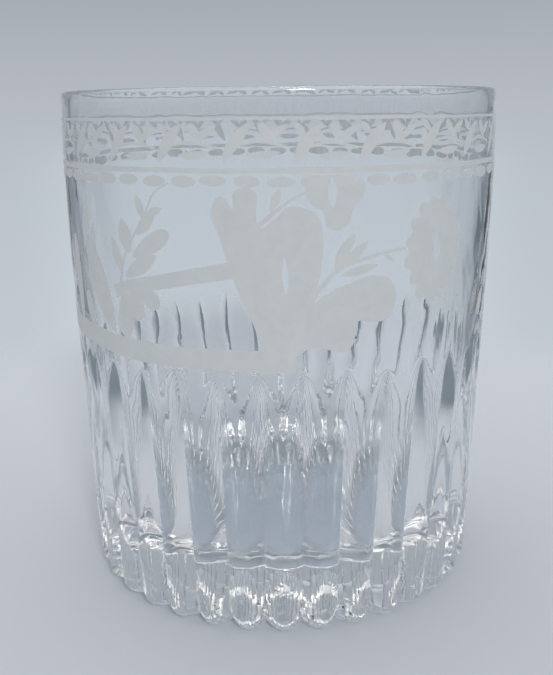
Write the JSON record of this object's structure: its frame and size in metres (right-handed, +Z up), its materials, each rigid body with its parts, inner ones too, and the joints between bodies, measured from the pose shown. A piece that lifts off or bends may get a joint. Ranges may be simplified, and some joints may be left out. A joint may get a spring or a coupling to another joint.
{
  "type": "engraved glass tumbler",
  "caption": "Slightly tapered cut-glass tumbler with a thick solid base, mitre-cut pillars round its lower half, and matt engraved flowers, ribbon, leaf frieze and bead row on the wall.",
  "frame": {"origin": "centre of the flat underside", "axes": "+Z up along the axis of the glass, the main engraving faces -Y, +X is to the right of someone facing the engraving"},
  "size_m": [0.0808, 0.0808, 0.092],
  "materials": {
    "clear_glass": "polished clear lead glass, with polished mitre cuts",
    "matt_engraving": "matt wheel-engraved glass, left unpolished"
  },
  "bodies": {
    "root": {"glass_body": "clear_glass", "engraved_upper_line": "matt_engraving", "engraved_leaf_frieze": "matt_engraving", "engraved_lower_line": "matt_engraving", "engraved_beads": "matt_engraving", "engraved_ribbon": "matt_engraving", "engraved_sprig": "matt_engraving", "engraved_left_leaves": "matt_engraving", "engraved_tulip": "matt_engraving", "engraved_right_leaf": "matt_engraving", "engraved_top_flower": "matt_engraving", "engraved_daisy": "matt_engraving"}
  },
  "joints": []
}
